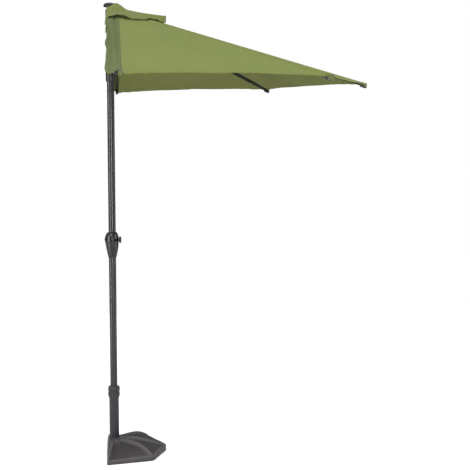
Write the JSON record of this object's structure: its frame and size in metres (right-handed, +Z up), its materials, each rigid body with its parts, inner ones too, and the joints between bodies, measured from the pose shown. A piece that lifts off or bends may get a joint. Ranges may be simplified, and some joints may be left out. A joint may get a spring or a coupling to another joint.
{
  "type": "patio umbrella with base",
  "caption": "Crank-operated half parasol that stands flat against a wall, with a weighted half-octagon base and a folding ribbed canopy with a vent.",
  "frame": {"origin": "on the floor, on the mast's axis, at the underside of the foot below the stand tube", "axes": "+Z up along the mast; +X away from the wall, the way the half canopy projects; +Y along the wall"},
  "size_m": [1.4194, 2.6828, 2.405],
  "materials": {
    "base_composite": "rough cast composite",
    "cover_plastic": "matt",
    "ballast_mix": "rough",
    "zinc_steel": "zinc plated",
    "foot_rubber": "matt",
    "black_plastic": "fine satin",
    "coated_steel": "satin powder coat",
    "nylon": "natural",
    "rib_steel": "satin powder coat",
    "canopy_cloth": "woven polyester"
  },
  "bodies": {
    "base": {"base_shell": "base_composite", "base_plate": "cover_plastic", "ballast": "ballast_mix", "plate_screws": "zinc_steel", "base_feet": "foot_rubber", "fill_plug": "black_plastic", "tube_anchor": "coated_steel", "anchor_screws": "zinc_steel", "stand_tube": "coated_steel"},
    "collar": {"clamp_collar": "black_plastic"},
    "bush": {"pole_bush": "cover_plastic"},
    "mast": {"lower_pole": "coated_steel", "pole_foot": "cover_plastic", "upper_pole": "coated_steel", "housing_front": "black_plastic", "housing_rear": "black_plastic", "housing_screws": "zinc_steel", "shaft_bushes": "nylon", "top_hub": "black_plastic", "hub_pins": "zinc_steel", "hub_screws": "zinc_steel", "pulley_pin": "zinc_steel", "finial_cap": "black_plastic", "vent_canopy": "canopy_cloth", "vent_clip": "black_plastic"},
    "crank": {"cord_spool": "nylon", "crank_shaft": "zinc_steel", "brake_spring": "zinc_steel", "crank_arm": "black_plastic", "knob_pin": "zinc_steel"},
    "knob": {"crank_knob": "black_plastic"},
    "pulley": {"pulley": "nylon"},
    "runner": {"runner": "black_plastic", "runner_pins": "zinc_steel"},
    "rib_1": {"rib_1": "rib_steel", "rib_tip_1": "black_plastic", "rib_rivet_1": "zinc_steel", "canopy_panel_1": "canopy_cloth"},
    "stretcher_1": {"stretcher_1": "rib_steel"},
    "rib_2": {"rib_2": "rib_steel", "rib_tip_2": "black_plastic", "rib_rivet_2": "zinc_steel", "canopy_panel_2": "canopy_cloth"},
    "stretcher_2": {"stretcher_2": "rib_steel"},
    "rib_3": {"rib_3": "rib_steel", "rib_tip_3": "black_plastic", "rib_rivet_3": "zinc_steel", "canopy_panel_3": "canopy_cloth"},
    "stretcher_3": {"stretcher_3": "rib_steel"},
    "rib_4": {"rib_4": "rib_steel", "rib_tip_4": "black_plastic", "rib_rivet_4": "zinc_steel", "canopy_panel_4": "canopy_cloth"},
    "stretcher_4": {"stretcher_4": "rib_steel"},
    "rib_5": {"rib_5": "rib_steel", "rib_tip_5": "black_plastic", "rib_rivet_5": "zinc_steel", "canopy_panel_5": "canopy_cloth"},
    "stretcher_5": {"stretcher_5": "rib_steel"}
  },
  "joints": [
    {"name": "collar_twist", "type": "hinge", "parent": "base", "child": "collar", "pos_m": [0, 0, 0.34], "axis": [0, 0, 1], "range_deg": [0, 180]},
    {"name": "pole_turn", "type": "hinge", "parent": "base", "child": "bush", "pos_m": [0, 0, 0.34], "axis": [0, 0, 1], "range_deg": [-90, 90]},
    {"name": "pole_lift", "type": "slide", "parent": "bush", "child": "mast", "axis": [0, 0, 1], "range_m": [0, 0.25]},
    {"name": "runner_slide", "type": "slide", "parent": "mast", "child": "runner", "axis": [0, 0, 1], "range_m": [-0.7575, 0]},
    {"name": "rib_fold_1", "type": "hinge", "parent": "mast", "child": "rib_1", "pos_m": [0.038, -0.03, 2.35], "axis": [1, 0, 0], "range_deg": [0, 70.15], "deforming": ["canopy_panel_1"]},
    {"name": "rib_fold_2", "type": "hinge", "parent": "mast", "child": "rib_2", "pos_m": [0.05921, -0.02121, 2.35], "axis": [0.7071, 0.7071, 0], "range_deg": [0, 70.15], "deforming": ["canopy_panel_2"]},
    {"name": "rib_fold_3", "type": "hinge", "parent": "mast", "child": "rib_3", "pos_m": [0.068, 0, 2.35], "axis": [0, 1, 0], "range_deg": [0, 70.15], "deforming": ["canopy_panel_3", "vent_canopy", "vent_clip"]},
    {"name": "rib_fold_4", "type": "hinge", "parent": "mast", "child": "rib_4", "pos_m": [0.05921, 0.02121, 2.35], "axis": [-0.7071, 0.7071, 0], "range_deg": [0, 70.15], "deforming": ["canopy_panel_4"]},
    {"name": "rib_fold_5", "type": "hinge", "parent": "mast", "child": "rib_5", "pos_m": [0.038, 0.03, 2.35], "axis": [-1, 0, 0], "range_deg": [0, 70.15], "deforming": ["canopy_panel_5"]},
    {"name": "stretcher_fold_1", "type": "hinge", "parent": "runner", "child": "stretcher_1", "pos_m": [0.038, -0.033, 2.05], "axis": [1, 0, 0], "range_deg": [-69.39, 0]},
    {"name": "stretcher_fold_2", "type": "hinge", "parent": "runner", "child": "stretcher_2", "pos_m": [0.06134, -0.02334, 2.05], "axis": [0.7071, 0.7071, 0], "range_deg": [-69.39, 0]},
    {"name": "stretcher_fold_3", "type": "hinge", "parent": "runner", "child": "stretcher_3", "pos_m": [0.071, 0, 2.05], "axis": [0, 1, 0], "range_deg": [-69.39, 0]},
    {"name": "stretcher_fold_4", "type": "hinge", "parent": "runner", "child": "stretcher_4", "pos_m": [0.06134, 0.02334, 2.05], "axis": [-0.7071, 0.7071, 0], "range_deg": [-69.39, 0]},
    {"name": "stretcher_fold_5", "type": "hinge", "parent": "runner", "child": "stretcher_5", "pos_m": [0.038, 0.033, 2.05], "axis": [-1, 0, 0], "range_deg": [-69.39, 0]},
    {"name": "crank_turn", "type": "hinge", "parent": "mast", "child": "crank", "pos_m": [0, 0, 1.158], "axis": [1, 0, 0], "range_deg": [-3617.8, 0]},
    {"name": "knob_fold", "type": "hinge", "parent": "crank", "child": "knob", "pos_m": [0.0431, -0.062, 1.158], "axis": [0, 0, 1], "range_deg": [-90, 0]},
    {"name": "pulley_turn", "type": "hinge", "parent": "mast", "child": "pulley", "pos_m": [0.0125, 0, 2.3765], "axis": [0, 1, 0], "range_deg": [-3617.8, 0]}
  ],
  "couplings": [
    {"joint": "rib_fold_1", "follows": "runner_slide", "rad_per_m": -1.6152},
    {"joint": "rib_fold_2", "follows": "runner_slide", "rad_per_m": -1.6152},
    {"joint": "rib_fold_3", "follows": "runner_slide", "rad_per_m": -1.6152},
    {"joint": "rib_fold_4", "follows": "runner_slide", "rad_per_m": -1.6152},
    {"joint": "rib_fold_5", "follows": "runner_slide", "rad_per_m": -1.6152},
    {"joint": "stretcher_fold_1", "follows": "runner_slide", "rad_per_m": 1.5976},
    {"joint": "stretcher_fold_2", "follows": "runner_slide", "rad_per_m": 1.5976},
    {"joint": "stretcher_fold_3", "follows": "runner_slide", "rad_per_m": 1.5976},
    {"joint": "stretcher_fold_4", "follows": "runner_slide", "rad_per_m": 1.5976},
    {"joint": "stretcher_fold_5", "follows": "runner_slide", "rad_per_m": 1.5976},
    {"joint": "crank_turn", "follows": "runner_slide", "rad_per_m": 83.333},
    {"joint": "pulley_turn", "follows": "runner_slide", "rad_per_m": 83.333}
  ]
}
